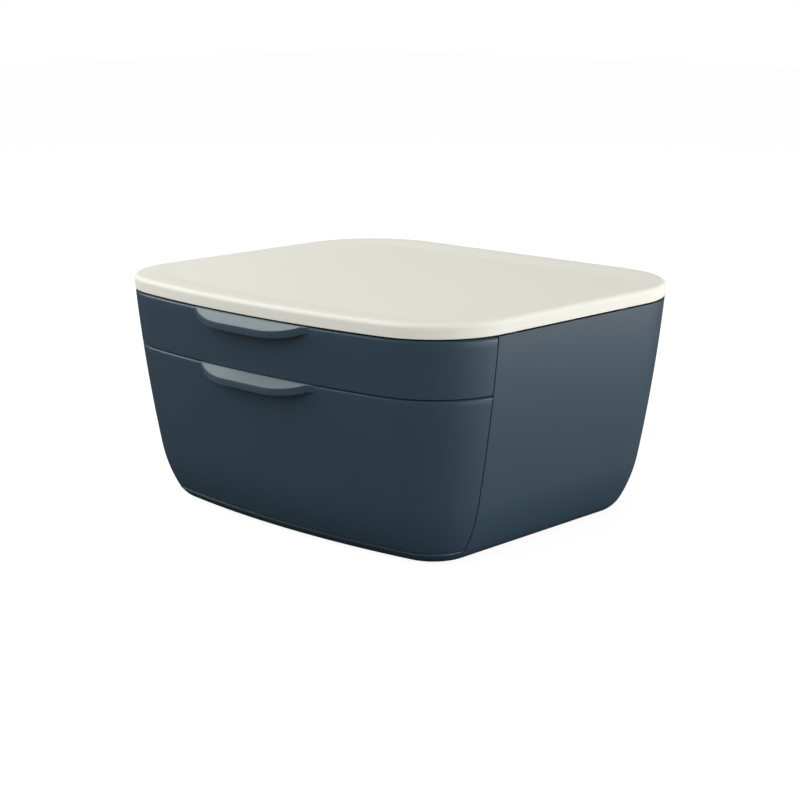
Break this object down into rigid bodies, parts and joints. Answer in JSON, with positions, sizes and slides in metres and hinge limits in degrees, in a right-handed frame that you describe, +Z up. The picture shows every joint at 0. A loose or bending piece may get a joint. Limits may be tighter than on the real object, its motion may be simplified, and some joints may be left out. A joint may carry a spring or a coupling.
{
  "type": "file box with drawers",
  "caption": "Desktop file box with a shallow upper drawer and a deep lower drawer under a dished cover; bowl-shaped body, wrap-round fronts with lip pulls.",
  "frame": {"origin": "centre of the footprint's bounding box, on the table under the feet", "axes": "+Z up, +X to the right seen from the front, the drawers open along -Y"},
  "size_m": [0.3714, 0.3312, 0.1858],
  "materials": {
    "slate_plastic": "satin",
    "tray_plastic": "satin",
    "inner_plastic": "satin",
    "cream_plastic": "satin",
    "rail_plastic": "gloss",
    "soft_rubber": "matte",
    "screw_steel": "satin"
  },
  "bodies": {
    "cabinet": {"housing": "slate_plastic", "top_cover": "cream_plastic", "shelf": "inner_plastic", "upper_left_rail": "rail_plastic", "upper_right_rail": "rail_plastic", "lower_left_rail": "rail_plastic", "lower_right_rail": "rail_plastic", "upper_left_bumper": "soft_rubber", "upper_right_bumper": "soft_rubber", "lower_left_bumper": "soft_rubber", "lower_right_bumper": "soft_rubber", "foot_front_right": "soft_rubber", "foot_front_left": "soft_rubber", "foot_rear_right": "soft_rubber", "foot_rear_left": "soft_rubber", "shelf_screws": "screw_steel", "cover_screws": "screw_steel"},
    "upper_drawer": {"upper_tray": "tray_plastic", "upper_front": "slate_plastic", "upper_front_screws": "screw_steel"},
    "lower_drawer": {"lower_tray": "tray_plastic", "lower_front": "slate_plastic", "lower_front_screws": "screw_steel"}
  },
  "joints": [
    {"name": "upper_drawer_slide", "type": "slide", "parent": "cabinet", "child": "upper_drawer", "axis": [0, -1, 0], "range_m": [0, 0.2]},
    {"name": "lower_drawer_slide", "type": "slide", "parent": "cabinet", "child": "lower_drawer", "axis": [0, -1, 0], "range_m": [0, 0.2]}
  ]
}
